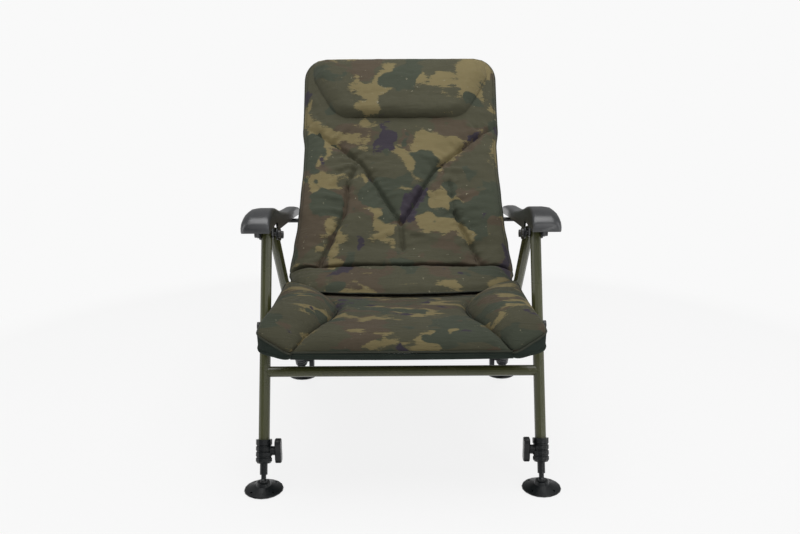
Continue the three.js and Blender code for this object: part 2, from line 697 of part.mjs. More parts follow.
function armRing([y, topRise, rimRise, width], side, inset, dropped) {
  const inner = armInnerX + inset;
  const outer = armInnerX + width - inset;
  const high = rackLine(y) + topRise - inset;
  const rim = rackLine(y) + rimRise;
  const low = dropped ? rim - 40 : rim;
  const outerRound = Math.min(24, (high - rim) * 0.8, (outer - inner) * 0.5);
  const innerRound = Math.min(9, (high - rim) * 0.5, (outer - inner) * 0.3);
  const points = [[inner, low], [outer, low]];
  const addRound = (x, round, start) => {
    for (let i = 0; i <= 4; i += 1) {
      const angle = start + (i / 4) * (Math.PI / 2);
      points.push([x + round * Math.cos(angle), high - round + round * Math.sin(angle)]);
    }
  };
  addRound(outer - outerRound, outerRound, 0);
  addRound(inner + innerRound, innerRound, Math.PI / 2);
  return points.map(([x, z]) => at(side * x, y, z));
}

function rackShape() {
  // Teeth point down along a line that clears the peg
  const pegReach = (pegY - frontLegTopY) / Math.cos(rackSlope);
  const clearLine = pegRadius + 1.2;
  const place = (along, up) => [
    frontLegTopY + along * Math.cos(rackSlope) - up * Math.sin(rackSlope),
    frontLegTopZ + along * Math.sin(rackSlope) + up * Math.cos(rackSlope),
  ];
  const start = pegReach - rackToothPitch * 1.5;
  const shape = new THREE.Shape();
  shape.moveTo(...place(start, clearLine + 60));
  shape.lineTo(...place(start, clearLine));
  for (let i = 0; i < rackToothCount; i += 1) {
    const from = start + i * rackToothPitch;
    shape.lineTo(...place(from + 6, clearLine));
    for (let k = 0; k <= 4; k += 1) {
      const angle = Math.PI - (k / 4) * Math.PI;
      shape.lineTo(...place(from + 14 + 6.5 * Math.cos(angle), clearLine + 1.5 + 6.5 * Math.sin(angle)));
    }
  }
  const finish = start + rackToothCount * rackToothPitch + 4;
  shape.lineTo(...place(finish, clearLine));
  shape.lineTo(...place(finish, clearLine + 60));
  return shape;
}
function earShape() {
  const shape = new THREE.Shape();
  shape.absarc(frontLegTopY, frontLegTopZ, 9, Math.PI, 2 * Math.PI, false);
  shape.lineTo(frontLegTopY + 11, frontLegTopZ + 80);
  shape.lineTo(frontLegTopY - 11, frontLegTopZ + 80);
  return shape;
}

for (const [sideName, side] of sides) {
  let shell = toSolid(loft(armStations.map((station) => armRing(station, side, 0, false))));
  const cavity = armStations.slice(1, -1).map((station) => armRing(station, side, armWall, true));
  shell = shell.subtract(toSolid(loft(cavity)));
  // Ribs stand inside the shell and stop within its top wall
  const envelope = toSolid(loft(armStations.map((station) => armRing(station, side, 1, true))));
  const add = (shape, x0, x1) => {
    const rib = toSolid(sideExtrusion(shape, Math.min(side * x0, side * x1), Math.max(side * x0, side * x1)));
    shell = shell.add(rib.intersect(envelope));
  };
  add(earShape(), armInnerX + 1, armInnerX + armEarThickness);
  add(earShape(), armOuterEarX, armOuterEarX + armEarThickness);
  add(rackShape(), armInnerX + 11, armInnerX + 21);
  shell = shell.subtract(toSolid(rod(at(side * (armInnerX - 20), frontLegTopY, frontLegTopZ),
    at(side * (armInnerX + 60), frontLegTopY, frontLegTopZ), boltRadius + gap, 12)));
  addMesh(`armrest_${sideName}`, toGeometry(shell), "plastic");
}

// The origin is on the floor under the middle of the overall depth
chair.updateMatrixWorld(true);
const bounds = new THREE.Box3().setFromObject(chair, true);
chair.position.y = -(bounds.min.y + bounds.max.y) / 2;

export default chair;
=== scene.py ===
# carp fishing chair: fabric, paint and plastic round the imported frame
import json
import math

import bmesh
import bpy
from mathutils import Matrix, Vector, kdtree, noise


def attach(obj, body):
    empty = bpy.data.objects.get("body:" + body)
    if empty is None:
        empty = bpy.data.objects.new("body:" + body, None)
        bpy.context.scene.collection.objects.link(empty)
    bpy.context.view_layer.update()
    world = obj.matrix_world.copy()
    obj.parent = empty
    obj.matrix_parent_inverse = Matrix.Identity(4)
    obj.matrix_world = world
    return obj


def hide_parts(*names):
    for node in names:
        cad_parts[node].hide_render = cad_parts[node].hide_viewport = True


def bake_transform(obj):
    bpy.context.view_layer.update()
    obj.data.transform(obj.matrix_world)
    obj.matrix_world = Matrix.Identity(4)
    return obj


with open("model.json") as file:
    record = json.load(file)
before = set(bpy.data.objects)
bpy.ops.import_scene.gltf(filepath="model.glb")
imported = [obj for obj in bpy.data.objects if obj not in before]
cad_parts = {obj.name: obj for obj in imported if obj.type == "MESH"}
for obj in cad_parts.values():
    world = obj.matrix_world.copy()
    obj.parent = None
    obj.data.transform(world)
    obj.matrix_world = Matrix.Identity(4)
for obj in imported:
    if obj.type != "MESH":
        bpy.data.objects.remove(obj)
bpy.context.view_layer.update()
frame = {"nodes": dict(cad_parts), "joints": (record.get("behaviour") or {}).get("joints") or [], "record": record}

joints = {joint["name"]: joint for joint in frame["joints"]}
sides = {"left": -1, "right": 1}


# shader node helpers
def startMaterial(name, roughness, metallic=0.0):
    made = bpy.data.materials.new(name)
    made.use_nodes = True
    nodes, links = made.node_tree.nodes, made.node_tree.links
    shader = nodes["Principled BSDF"]
    shader.inputs["Roughness"].default_value = roughness
    shader.inputs["Metallic"].default_value = metallic
    where = nodes.new("ShaderNodeTexCoord")
    return made, nodes, links, shader, where.outputs["Object"]


def addMath(nodes, links, operation, *values):
    made = nodes.new("ShaderNodeMath")
    made.operation = operation
    for socket, value in zip(made.inputs, values):
        if hasattr(value, "is_linked"):
            links.new(value, socket)
        else:
            socket.default_value = value
    return made.outputs[0]


def addMapping(nodes, links, place, offset, stretch):
    made = nodes.new("ShaderNodeMapping")
    made.inputs["Location"].default_value = offset
    made.inputs["Scale"].default_value = stretch
    links.new(place, made.inputs["Vector"])
    return made.outputs[0]


def addNoise(nodes, links, place, scale, detail=3.0, roughness=0.55, distortion=0.0):
    made = nodes.new("ShaderNodeTexNoise")
    made.inputs["Scale"].default_value = scale
    made.inputs["Detail"].default_value = detail
    made.inputs["Roughness"].default_value = roughness
    made.inputs["Distortion"].default_value = distortion
    links.new(place, made.inputs["Vector"])
    return made


def addRamp(nodes, links, value, *stops):
    # each stop is a place and a colour, or one number for a grey
    made = nodes.new("ShaderNodeValToRGB")
    for element, (place, colour) in zip(made.color_ramp.elements, stops):
        element.position = place
        element.color = (*colour, 1) if hasattr(colour, "__len__") else (colour, colour, colour, 1)
    links.new(value, made.inputs["Fac"])
    return made.outputs["Color"]


def addMix(nodes, links, share, first, second, way="MIX"):
    made = nodes.new("ShaderNodeMix")
    made.data_type = "RGBA"
    made.blend_type = way
    for socket, value in ((made.inputs[0], share), (made.inputs[6], first), (made.inputs[7], second)):
        if hasattr(value, "is_linked"):
            links.new(value, socket)
        else:
            socket.default_value = (*value, 1) if hasattr(value, "__len__") else value
    return made.outputs[2]


def addBump(nodes, links, shader, height, strength, distance, before=None):
    made = nodes.new("ShaderNodeBump")
    made.inputs["Strength"].default_value = strength
    made.inputs["Distance"].default_value = distance
    links.new(height, made.inputs["Height"])
    if before:
        links.new(before, made.inputs["Normal"])
    links.new(made.outputs["Normal"], shader.inputs["Normal"])
    return made.outputs["Normal"]


# camera and light
studio = {
    "lens": 37.6,             # mm on a 36 mm sensor
    "distance": 1.881,        # from the origin, towards the front
    "height": 0.824,
    "pitch": 14.15,           # degrees down
    "roll": -0.35,
    "shiftX": -0.0016,
    "floorHalf": 9.0,
    "floorColour": (0.88, 0.88, 0.88, 1),
    "floorFade": (0.5, 1.5),  # the floor turns into the plain tone between these distances
    "shadowShare": 0.12,      # share of the floor's own shading that the camera sees
    "paleTone": 0.947,
    "worldLevel": 0.32,
    # power, width and height, place, and the place it aims at
    "lamps": {
        "topBox": (44, (2.4, 2.0), (0, -0.3, 2.6), (0, 0, 0.3)),
        "frontBox": (13, (2.6, 1.6), (0.3, -3.0, 1.9), (0, 0, 0.4)),
        "leftBox": (11, (1.2, 1.8), (-2.4, -0.4, 1.2), (0, 0, 0.4)),
        "rightBox": (11, (1.2, 1.8), (2.4, -0.4, 1.2), (0, 0, 0.4)),
        "stripBox": (9, (0.30, 1.9), (1.55, -2.35, 1.25), (0, -0.1, 0.45)),
    },
}


def setCamera(s=studio):
    data = bpy.data.cameras.new("camera")
    data.lens = s["lens"]
    data.sensor_width = 36
    data.shift_x = s["shiftX"]
    camera = bpy.data.objects.new("camera", data)
    camera.location = (0, -s["distance"], s["height"])
    tilt = Matrix.Rotation(math.radians(90 - s["pitch"]), 3, "X")
    camera.rotation_euler = (tilt @ Matrix.Rotation(math.radians(s["roll"]), 3, "Z")).to_euler()
    bpy.context.scene.collection.objects.link(camera)
    bpy.context.scene.camera = camera


def addLamp(name, power, size, place, aim):
    data = bpy.data.lights.new(name, "AREA")
    data.energy = power
    data.shape = "RECTANGLE"
    data.size, data.size_y = size
    lamp = bpy.data.objects.new(name, data)
    lamp.location = place
    lamp.rotation_euler = (Vector(aim) - Vector(place)).to_track_quat("-Z", "Y").to_euler()
    bpy.context.scene.collection.objects.link(lamp)


def paleFloor(s=studio):
    # the camera and mirrors see a plain pale tone, the rest sees a pale surface
    pale = bpy.data.materials.new("paleFloor")
    pale.use_nodes = True
    nodes, links = pale.node_tree.nodes, pale.node_tree.links
    nodes.clear()
    path = nodes.new("ShaderNodeLightPath")
    seen = addMath(nodes, links, "MAXIMUM", path.outputs["Is Camera Ray"], path.outputs["Is Glossy Ray"])
    share = addMath(nodes, links, "MULTIPLY", seen, 1 - s["shadowShare"])
    plain = nodes.new("ShaderNodeEmission")
    plain.inputs["Color"].default_value = (s["paleTone"], s["paleTone"], s["paleTone"], 1)
    surface = nodes.new("ShaderNodeBsdfDiffuse")
    surface.inputs["Color"].default_value = s["floorColour"]
    # further from the chair the floor is the plain tone alone
    place = nodes.new("ShaderNodeTexCoord")
    far = nodes.new("ShaderNodeVectorMath")
    far.operation = "LENGTH"
    links.new(place.outputs["Object"], far.inputs[0])
    fade = nodes.new("ShaderNodeMapRange")
    fade.interpolation_type = "SMOOTHSTEP"
    fade.inputs["From Min"].default_value, fade.inputs["From Max"].default_value = s["floorFade"]
    links.new(far.outputs["Value"], fade.inputs["Value"])
    blend = addMath(nodes, links, "MULTIPLY", fade.outputs["Result"], seen)
    mix = nodes.new("ShaderNodeMixShader")
    links.new(addMath(nodes, links, "MAXIMUM", share, blend), mix.inputs[0])
    links.new(surface.outputs[0], mix.inputs[1])
    links.new(plain.outputs[0], mix.inputs[2])
    out = nodes.new("ShaderNodeOutputMaterial")
    links.new(mix.outputs[0], out.inputs["Surface"])
    return pale


def makeFloor(s=studio):
    half = s["floorHalf"]
    corners = [(-half, -half, 0), (half, -half, 0), (half, half, 0), (-half, half, 0)]
    mesh = bpy.data.meshes.new("floor")
    mesh.from_pydata(corners, [], [(0, 1, 2, 3)])
    floor = bpy.data.objects.new("floor", mesh)
    bpy.context.scene.collection.objects.link(floor)
    mesh.materials.append(paleFloor())


def makeWorld(s=studio):
    world = bpy.data.worlds.new("studio")
    bpy.context.scene.world = world
    world.use_nodes = True
    nodes, links = world.node_tree.nodes, world.node_tree.links
    nodes.clear()
    path = nodes.new("ShaderNodeLightPath")
    rays = path.outputs["Is Camera Ray"], path.outputs["Is Transmission Ray"]
    seen = addMath(nodes, links, "MAXIMUM", *rays)
    level = nodes.new("ShaderNodeMapRange")
    level.inputs["To Min"].default_value = s["worldLevel"]
    level.inputs["To Max"].default_value = s["paleTone"]
    links.new(seen, level.inputs["Value"])
    back = nodes.new("ShaderNodeBackground")
    back.inputs["Color"].default_value = (1, 1, 1, 1)
    links.new(level.outputs[0], back.inputs["Strength"])
    out = nodes.new("ShaderNodeOutputWorld")
    links.new(back.outputs[0], out.inputs["Surface"])


setCamera()
makeFloor()
makeWorld()
for name, lamp in studio["lamps"].items():
    addLamp(name, *lamp)
bpy.context.scene.view_settings.view_transform = "Standard"
print("studio is set")


# finishes
camo = {
    "base": (0.062, 0.060, 0.037),
    "brown": (0.072, 0.056, 0.037),
    "khaki": (0.165, 0.135, 0.064),
    "leaf": (0.046, 0.053, 0.036),
    "dusk": (0.036, 0.030, 0.040),
    "fleck": (0.24, 0.22, 0.15),
    # from the lowest layer up: colour, noise per metre, level above which it shows, how far its edges are
    # torn, offset and stretch; the second khaki layer is a spray of speckles round the first
    "layers": [
        ("brown", 6.2, 0.520, 0.20, (3.1, 0.4, 1.7), (1, 1, 1.3)),
        ("khaki", 7.8, 0.548, 0.26, (5.2, 1.1, 0.3), (1, 1.1, 1.2)),
        ("khaki", 7.8, 0.665, 1.15, (5.2, 1.1, 0.3), (1, 1.1, 1.2)),
        ("leaf", 7.4, 0.550, 0.07, (0.6, 2.2, 5.3), (1, 1, 1.1)),
        ("dusk", 9.0, 0.640, 0.20, (1.9, 4.4, 2.6), (1.5, 1, 0.8)),
    ],
    "bend": (0.060, 0.060, 0.045),  # reach of a slow bend, so that the blotches are not all round
    "smear": (0.42, 1.5, 1.5),      # stretch of the fine smears that fray the edges
    "handling": (0.88, 1.10),       # soft unevenness from handling
}


def camoFabric(name, shift, squeeze, bare, depth, c=camo):
    # shift moves the pattern, squeeze makes it smaller along x, y and z, bare leaves more of the base,
    # and depth darkens all of it
    made, nodes, links, shader, plainPlace = startMaterial(name, 0.80)
    shader.inputs["Specular IOR Level"].default_value = 0.18
    shader.inputs["Sheen Weight"].default_value = 0.03
    shader.inputs["Sheen Roughness"].default_value = 0.5
    place = addMapping(nodes, links, plainPlace, shift, squeeze)
    bend = addNoise(nodes, links, place, 11, 2, 0.5)
    push = nodes.new("ShaderNodeVectorMath")
    push.operation = "MULTIPLY_ADD"
    push.inputs[1].default_value = c["bend"]
    links.new(bend.outputs["Color"], push.inputs[0])
    links.new(place, push.inputs[2])
    smeared = addMapping(nodes, links, place, (0, 0, 0), c["smear"])
    fray = addNoise(nodes, links, smeared, 72, 7, 0.82)
    centred = addMath(nodes, links, "SUBTRACT", fray.outputs["Fac"], 0.5)
    colour = c["base"]
    for tint, scale, level, tear, offset, stretch in c["layers"]:
        spread = addMapping(nodes, links, push.outputs[0], offset, stretch)
        body = addNoise(nodes, links, spread, scale, 2.6, 0.5)
        worn = addMath(nodes, links, "MULTIPLY_ADD", centred, tear, body.outputs["Fac"])
        blotch = addRamp(nodes, links, worn, (level + bare, 0), (level + bare + 0.010, 1))
        colour = addMix(nodes, links, blotch, colour, c[tint])
    speck = addNoise(nodes, links, place, 85, 2, 0.6)
    flecks = addRamp(nodes, links, speck.outputs["Fac"], (0.715, 0), (0.745, 0.7))
    colour = addMix(nodes, links, flecks, colour, c["fleck"])
    shade = addNoise(nodes, links, place, 3.3, 3, 0.6)
    least, most = c["handling"]
    tone = addRamp(nodes, links, shade.outputs["Fac"], (0.3, least * depth), (0.7, most * depth))
    links.new(addMix(nodes, links, 1.0, colour, tone, "MULTIPLY"), shader.inputs["Base Color"])
    weave = addNoise(nodes, links, place, 1100, 2, 0.6)
    creases = addNoise(nodes, links, smeared, 34, 5, 0.66, 1.2)
    first = addBump(nodes, links, shader, weave.outputs["Fac"], 0.22, 0.0006)
    addBump(nodes, links, shader, creases.outputs["Fac"], 0.55, 0.004, first)
    return made


def plainFabric(name, colour):
    made, nodes, links, shader, place = startMaterial(name, 0.85)
    shader.inputs["Specular IOR Level"].default_value = 0.2
    soft = addNoise(nodes, links, place, 18, 4, 0.6)
    dark = [0.72 * v for v in colour]
    tone = addRamp(nodes, links, soft.outputs["Fac"], (0.35, dark), (0.7, colour))
    links.new(tone, shader.inputs["Base Color"])
    weave = addNoise(nodes, links, place, 900, 2, 0.6)
    addBump(nodes, links, shader, weave.outputs["Fac"], 0.35, 0.0008)
    return made


def greenPaint(low=(0.046, 0.049, 0.016), high=(0.062, 0.065, 0.024), bare=(0.17, 0.17, 0.12)):
    # bare is the tone where the paint has scuffed
    made, nodes, links, shader, place = startMaterial("greenPaint", 0.38)
    soft = addNoise(nodes, links, place, 9, 3, 0.6)
    tone = addRamp(nodes, links, soft.outputs["Fac"], (0.3, low), (0.72, high))
    scuff = addNoise(nodes, links, place, 210, 5, 0.75)
    worn = addRamp(nodes, links, scuff.outputs["Fac"], (0.71, 0), (0.76, 0.5))
    links.new(addMix(nodes, links, worn, tone, bare), shader.inputs["Base Color"])
    shine = addRamp(nodes, links, soft.outputs["Fac"], (0.3, 0.22), (0.8, 0.34))
    links.new(shine, shader.inputs["Roughness"])
    peel = addNoise(nodes, links, place, 420, 2, 0.5)
    addBump(nodes, links, shader, peel.outputs["Fac"], 0.08, 0.0006)
    return made


def mouldedNylon(name, low, high, roughness, specular):
    made, nodes, links, shader, place = startMaterial(name, roughness)
    shader.inputs["Specular IOR Level"].default_value = specular
    soft = addNoise(nodes, links, place, 30, 3, 0.6)
    tone = addRamp(nodes, links, soft.outputs["Fac"], (0.3, low), (0.75, high))
    links.new(tone, shader.inputs["Base Color"])
    grain = addNoise(nodes, links, place, 1300, 3, 0.6)
    addBump(nodes, links, shader, grain.outputs["Fac"], 0.25, 0.0006)
    return made


def blackSteel(low=0.03, high=0.09):
    made, nodes, links, shader, place = startMaterial("blackSteel", 0.4, 0.75)
    soft = addNoise(nodes, links, place, 60, 3, 0.6)
    tone = addRamp(nodes, links, soft.outputs["Fac"], (0.3, low), (0.75, high))
    links.new(tone, shader.inputs["Base Color"])
    return made


finishes = {
    "camo_fabric": camoFabric("camoFabric", (4.13, 1.62, 3.07), (1, 1, 1), 0, 1),
    "green_frame": greenPaint(),
    "black_plastic": mouldedNylon("blackNylon", (0.003, 0.004, 0.0045), (0.008, 0.010, 0.011), 0.30, 0.35),
    "pivot_steel": blackSteel(),
}
seatCamo = camoFabric("camoSeatFabric", (0.72, 3.85, 1.36), (1.25, 2.6, 2.2), 0.018, 0.91)
darkCloth = plainFabric("darkOliveCloth", (0.020, 0.026, 0.018))
hemCloth = plainFabric("hemCloth", (0.018, 0.026, 0.020))
webbing = plainFabric("webbing", (0.014, 0.016, 0.013))
seamTape = plainFabric("seamTape", (0.040, 0.043, 0.031))
# dark thread colour: partly real stitching, partly painted shade that darkens the mattress's grooves
threadAndGrooveShade = plainFabric("threadAndGrooveShade", (0.022, 0.023, 0.017))
armNylon = mouldedNylon("armNylon", (0.007, 0.008, 0.0095), (0.015, 0.017, 0.019), 0.34, 0.95)

for entry in frame["record"]["subparts"]:
    holder = frame["nodes"][entry["node"]]
    holder.data.materials.clear()
    arm = entry["node"] in ("armrest_left", "armrest_right")
    holder.data.materials.append(armNylon if arm else finishes[entry["material_slot"]])
print("finishes are made")


# mesh makers
def addPiece(name, points, faces, body, slot, finish):
    mesh = bpy.data.meshes.new(name)
    mesh.from_pydata([tuple(p) for p in points], [], faces)
    mesh.validate()
    mesh.polygons.foreach_set("use_smooth", [True] * len(mesh.polygons))
    piece = bpy.data.objects.new(name, mesh)
    bpy.context.scene.collection.objects.link(piece)
    mesh.materials.append(finish)
    mesh.update()
    if body:
        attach(piece, body)
    return piece


# moulded parts get one skin each, so that their curved walls shade as one surface
moulded = {
    "corner": 40,  # degrees past which an edge stays sharp
    "weld": 1e-6,
}


def makeSkin(node, body, finish, c=moulded):
    source = frame["nodes"][node]
    shape = bmesh.new()
    shape.from_mesh(source.data)
    shape.transform(source.matrix_world)
    bmesh.ops.remove_doubles(shape, verts=shape.verts, dist=c["weld"])
    mesh = bpy.data.meshes.new(node + "_skin")
    shape.to_mesh(mesh)
    shape.free()
    if "custom_normal" in mesh.attributes:
        mesh.attributes.remove(mesh.attributes["custom_normal"])
    mesh.shade_smooth()
    mesh.set_sharp_from_angle(angle=math.radians(c["corner"]))
    mesh.materials.clear()
    mesh.materials.append(finish)
    piece = bpy.data.objects.new(node + "_skin", mesh)
    bpy.context.scene.collection.objects.link(piece)
    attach(piece, body)
    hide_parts(node)


for name in sides:
    makeSkin(f"armrest_{name}", f"armrest_{name}", armNylon)
for end in ("front", "rear"):
    for name in sides:
        makeSkin(f"{end}_foot_{name}", f"{end}_{name}_foot", finishes["black_plastic"])
print("moulded parts have skins")


# soft shapes
def pillowGrid(columns, rows, face, under):
    # two facing grids that share their rim
    points, faces, ids = [], [], [{}, {}]
    for side, place in ((0, face), (1, under)):
        for j in range(rows + 1):
            for i in range(columns + 1):
                if side and (i in (0, columns) or j in (0, rows)):
                    ids[1][i, j] = ids[0][i, j]
                    continue
                ids[side][i, j] = len(points)
                points.append(place(i / columns, j / rows))
    for j in range(rows):
        for i in range(columns):
            corners = (i, j), (i + 1, j), (i + 1, j + 1), (i, j + 1)
            faces.append([ids[0][k] for k in corners])
            faces.append([ids[1][k] for k in reversed(corners)])
    return points, faces


def ringTube(route, size, closed=False, count=8):
    # a cord or band through points: size is its half height and half depth
    tall, deep = size if hasattr(size, "__len__") else (size, size)
    points, faces, total = [], [], len(route)
    for k, p in enumerate(route):
        before = route[(k - 1) % total] if closed or k else p
        after = route[(k + 1) % total] if closed or k < total - 1 else p
        along = (after - before).normalized()
        side = along.cross(Vector((0, 0, 1)))
        side = side.normalized() if side.length > 0.2 else along.cross(Vector((0, 1, 0))).normalized()
        up = side.cross(along)
        for n in range(count):
            angle = 2 * math.pi * n / count
            points.append(p + deep * math.cos(angle) * side + tall * math.sin(angle) * up)
    for k in range(total if closed else total - 1):
        for n in range(count):
            a, b = k * count + n, k * count + (n + 1) % count
            c, d = ((k + 1) % total) * count + (n + 1) % count, ((k + 1) % total) * count + n
            faces.append((a, b, c, d))
    if not closed:
        faces.append(tuple(reversed(range(count))))
        faces.append(tuple((total - 1) * count + n for n in range(count)))
    return points, faces


def joinMeshes(parts):
    points, faces = [], []
    for morePoints, moreFaces in parts:
        faces += [tuple(v + len(points) for v in face) for face in moreFaces]
        points += morePoints
    return points, faces


def stitchRow(route, pitch=0.0042, length=0.0026, thick=0.00045):
    # short thread stitches, one after another along a route
    stitches, reach, due = [], 0.0, 0.0
    for a, b in zip(route, route[1:]):
        step = (b - a).length
        while due < reach + step:
            start = a.lerp(b, (due - reach) / step)
            stitches.append(ringTube([start, start + (b - a).normalized() * length], thick, count=5))
            due += pitch
        reach += step
    return joinMeshes(stitches)


def curveThrough(stations, u):
    # place at u, from 0 to 1, on a smooth curve through the stations
    last = len(stations) - 1
    k = min(last - 1, int(u * last))
    f = u * last - k
    near = [stations[max(0, min(last, k + n))] for n in (-1, 0, 1, 2)]
    return [0.5 * (2 * b + (c - a) * f + (2 * a - 5 * b + 4 * c - d) * f**2 + (3 * b - a - 3 * c + d) * f**3)
            for a, b, c, d in zip(*near)]


def loopThrough(corners, steps):
    # smooth closed line through the corners
    route, total = [], len(corners)
    for k in range(total):
        p0, p1, p2, p3 = (Vector(corners[(k + n) % total]) for n in (-1, 0, 1, 2))
        for step in range(steps):
            t = step / steps
            m1, m2 = 0.42 * (p2 - p0), 0.42 * (p3 - p1)
            route.append((2 * t**3 - 3 * t**2 + 1) * p1 + (t**3 - 2 * t**2 + t) * m1
                         + (3 * t**2 - 2 * t**3) * p2 + (t**3 - t**2) * m2)
    return route


def edgeRise(distance, rim, power=0.55):
    # 0 at a seam, 1 once the distance from it passes the rim
    return math.sin(math.pi / 2 * max(0.0, min(1.0, distance / rim))) ** power


def ripple(x, z, across, along, seed):
    # long soft wrinkles, about -1 to 1
    return noise.fractal(Vector((x * across, z * along, seed)), 0.8, 2.1, 3) * 1.2


def cornerInset(inset, share):
    # how far a rounded corner draws in, with share from 0 at its start to 1 at the end
    return inset * (1 - math.sqrt(max(0, 1 - max(0, share) ** 2)))


# back mattress, from its tail on the seat up to the top bar
mattress = {
    "recline": 42.0, "lift": 0.0106, "depth": 0.043, "top": 0.598, "tailEnd": -0.172,
    "columns": 140, "rows": 190, "tailRows": 0.36,
    "cornerReach": 0.060, "cornerInset": 0.056,
    # height of the seam round the edge as a share of the depth, and what it gains across the top
    "rimShare": 0.30, "topGain": 0.24, "topReach": 0.05,
    # width of the swell along the sides, the top and the tail's end
    "sideSwell": 0.055, "topSwell": 0.030, "tailSwell": 0.022,
    # width and power of the underside's rise to the seam, along the sides and at the top
    "underSideSwell": (0.018, 0.8), "underTopSwell": (0.016, 0.8),
    # the tail's front edge bows forward in the middle
    "bow": 0.034, "bowStart": 0.05, "bowReach": 0.10,
    # half width at places along the back
    "widths": [
        (-0.172, 0.2360), (-0.130, 0.2475), (-0.100, 0.2505), (-0.040, 0.2590), (0.030, 0.2525),
        (0.090, 0.2468), (0.170, 0.2440), (0.250, 0.2410), (0.312, 0.2410), (0.370, 0.2475), (0.600, 0.2520),
    ],
    # tail on the seat, front first: face y and z, underside y and z, place along the back
    "tail": [
        (-0.1400, 0.3260, -0.1400, 0.3242, -0.170), (-0.1300, 0.3385, -0.1240, 0.3205, -0.155),
        (-0.1030, 0.3480, -0.0920, 0.3182, -0.130), (-0.0700, 0.3535, -0.0590, 0.3174, -0.100),
        (-0.0430, 0.3575, -0.0300, 0.3174, -0.075), (-0.0250, 0.3590, -0.0080, 0.3180, -0.055),
        (-0.0060, 0.3490, 0.0080, 0.3225, -0.040), (-0.0190, 0.3645, 0.0200, 0.3330, -0.025),
        (-0.0060, 0.3775, 0.0320, 0.3475, -0.010),
    ],
    "firstRow": 0.012, "rowPitch": 0.0195, "rowCount": 30,
    # sewn seams: depth and width of the groove, how much and how far the stuffing dips beside it
    "seamDepth": 0.0125, "seamWidth": 0.0044, "seamDip": 0.34, "dipReach": 0.030,
    # puckers along the seams: height, spacing, reach, and the bare strip beside the seam
    "pucker": 0.0024, "puckerPitch": 0.021, "puckerReach": 0.022, "puckerBare": 0.005,
    # long folds, more of them near the seams, and broad ones: height, waves across and along, seed
    "folds": (0.0032, 9, 38, 1.3), "foldsAway": 0.35, "foldReach": 0.05, "broadFolds": (0.0019, 24, 15, 7.7),
    # seams as x and place along the back, start and end, with the share of the full depth
    "seams": [
        (0.000, 0.081, -0.099, 0.259, 1.0), (0.000, 0.081, 0.083, 0.236, 1.0),
        (-0.099, 0.259, -0.150, 0.300, 1.0), (-0.150, 0.300, -0.244, 0.376, 0.8),
        (0.083, 0.236, 0.150, 0.297, 1.0), (0.150, 0.297, 0.244, 0.378, 0.9),
        (0.000, 0.081, 0.004, 0.010, 0.8), (-0.108, 0.262, -0.129, 0.190, 0.7),
        (-0.129, 0.190, -0.134, 0.115, 0.9), (-0.134, 0.115, -0.191, -0.034, 1.0),
        (0.119, 0.200, 0.126, 0.115, 0.5), (0.126, 0.115, 0.184, -0.034, 1.0),
    ],
    # pulled folds beside the seams: start, end, height and half width
    "pullShare": 1.4,
    "pulls": [
        (-0.105, 0.268, -0.190, 0.262, 0.0040, 0.0060), (-0.110, 0.252, -0.205, 0.222, 0.0042, 0.0065),
        (-0.118, 0.236, -0.180, 0.188, 0.0034, 0.0060), (-0.090, 0.276, -0.040, 0.268, 0.0036, 0.0060),
        (-0.135, 0.150, -0.225, 0.166, 0.0034, 0.0060), (-0.138, 0.120, -0.215, 0.118, 0.0030, 0.0060),
        (0.128, 0.150, 0.222, 0.176, 0.0034, 0.0060), (0.130, 0.118, 0.218, 0.126, 0.0030, 0.0060),
        (0.098, 0.236, 0.200, 0.228, 0.0032, 0.0060), (0.105, 0.262, 0.030, 0.282, 0.0030, 0.0060),
        (-0.195, 0.355, -0.240, 0.420, 0.0036, 0.0065), (-0.165, 0.330, -0.120, 0.372, 0.0034, 0.0065),
        (0.186, 0.345, 0.160, 0.384, 0.0030, 0.0065), (-0.214, 0.430, -0.245, 0.500, 0.0030, 0.0070),
        (-0.020, 0.060, -0.085, 0.030, 0.0026, 0.0060), (0.022, 0.060, 0.090, 0.036, 0.0026, 0.0060),
    ],
    # dark thread in the channels, partly real stitching and partly painted shade along the bottoms of the grooves;
    # it stays above the tail and clear of the edges
    "threadLow": 0.012, "threadHalf": 0.236, "threadStep": 0.006,
    "thread": (0.0046, 0.0030, 0.0005),  # pitch, length and thickness of its stitches
    # stitches along each side: distance in from the edge, and the part of the length that they take
    "stitchInset": 0.016, "stitchStart": 0.30, "stitchRun": 0.68, "weltRadius": 0.0018,
}
hinge = Vector(joints["back_recline"]["pos_m"])
backPlace = Matrix.Translation(hinge) @ Matrix.Rotation(-math.radians(mattress["recline"]), 4, "X")


def mattressStations(c=mattress):
    # face and underside for each row, the tail first and then the flat run up the back
    stations = list(c["tail"])
    for along in [c["firstRow"] + c["rowPitch"] * k for k in range(c["rowCount"])] + [c["top"]]:
        face = backPlace @ Vector((0, -c["lift"] - c["depth"], along))
        under = backPlace @ Vector((0, -c["lift"], along))
        stations.append((face.y, face.z, under.y, under.z, along))
    return stations


backStations = mattressStations()


def mattressHalfWidth(along, c=mattress):
    width = c["widths"][-1][1]
    for (a0, w0), (a1, w1) in zip(c["widths"], c["widths"][1:]):
        if a0 <= along < a1:
            f = (along - a0) / (a1 - a0)
            width = w0 + (w1 - w0) * f * f * (3 - 2 * f)
    return width - cornerInset(c["cornerInset"], (along - (c["top"] - c["cornerReach"])) / c["cornerReach"])


def segmentAway(x, along, x0, z0, x1, z1):
    # distance to a segment and the share of it at the nearest point
    length = math.hypot(x1 - x0, z1 - z0)
    k = max(0.0, min(1.0, ((x - x0) * (x1 - x0) + (along - z0) * (z1 - z0)) / length**2))
    return math.hypot(x - x0 - k * (x1 - x0), along - z0 - k * (z1 - z0)), k


